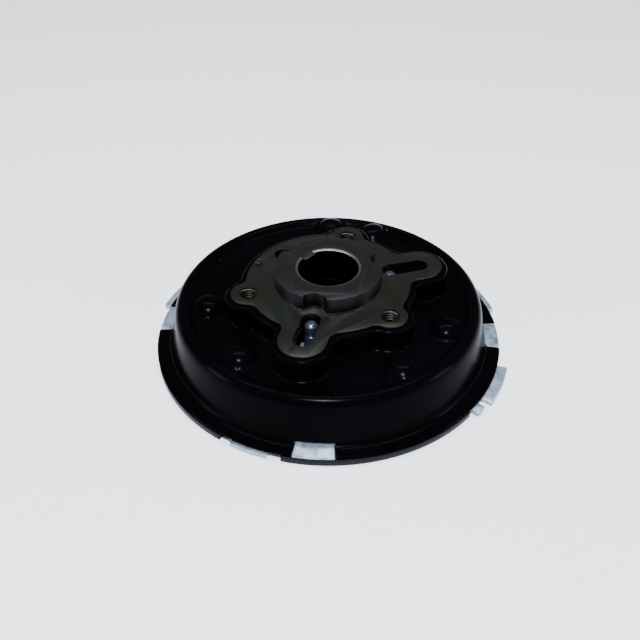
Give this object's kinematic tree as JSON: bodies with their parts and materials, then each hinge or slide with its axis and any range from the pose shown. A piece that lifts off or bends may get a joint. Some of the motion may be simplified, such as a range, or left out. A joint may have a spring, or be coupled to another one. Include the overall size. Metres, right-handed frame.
{
  "type": "clutch flywheel",
  "caption": "Keyed flywheel with a pressed drum shell, a spring-loaded pressure plate and a driven disc on a central bearing, for a small engine.",
  "frame": {"origin": "on the shaft bore's axis, where the bore starts, level with the plane the rim stands on", "axes": "+Z along the bore axis from the rim to the boss; -Y towards the front slotted ear side"},
  "size_m": [0.154, 0.1529, 0.0396],
  "materials": {
    "black_enamel": "gloss black enamel on pressed steel",
    "hub_steel": "dark satin machined steel",
    "dark_steel": "satin black",
    "zinc_plate": "pale blue zinc plate",
    "bright_steel": "polished",
    "spring_steel": "oiled dark steel",
    "plain_steel": "plain machined steel",
    "friction_lining": "matt moulded friction material",
    "bearing_steel": "ground and polished",
    "cage_brass": "pressed brass"
  },
  "bodies": {
    "flywheel": {"hub": "hub_steel", "shell": "black_enamel", "rim_ring": "dark_steel", "retainer_ring": "zinc_plate", "balance_weights": "zinc_plate", "dowel": "hub_steel", "shell_ring": "spring_steel", "lower_snap_ring": "spring_steel", "bearing_inner_race": "bearing_steel", "spring_1": "spring_steel", "spring_2": "spring_steel", "spring_3": "spring_steel", "spring_4": "spring_steel", "spring_5": "spring_steel", "spring_6": "spring_steel"},
    "pressure": {"pressure_plate": "zinc_plate", "release_pins": "bright_steel"},
    "driven": {"driven_hub": "plain_steel", "driven_disc": "plain_steel", "lining_lower": "friction_lining", "lining_upper": "friction_lining", "disc_rivets": "bright_steel", "bearing_outer_race": "bearing_steel", "upper_snap_ring": "spring_steel"},
    "ball_ring": {"bearing_balls": "bearing_steel", "bearing_cage": "cage_brass"}
  },
  "joints": [
    {"name": "release", "type": "slide", "parent": "flywheel", "child": "pressure", "axis": [0, 0, 1], "range_m": [0, 0.0006], "stiffness_N_per_m": 120000, "springref_m": -0.002, "deforming": ["spring_1", "spring_2", "spring_3", "spring_4", "spring_5", "spring_6"]},
    {"name": "driven_spin", "type": "hinge", "parent": "flywheel", "child": "driven", "pos_m": [0, 0, 0], "axis": [0, 0, 1], "continuous": true},
    {"name": "ball_ring_spin", "type": "hinge", "parent": "flywheel", "child": "ball_ring", "pos_m": [0, 0, 0], "axis": [0, 0, 1], "continuous": true}
  ],
  "couplings": [
    {"joint": "ball_ring_spin", "follows": "driven_spin", "ratio": 0.5413}
  ]
}
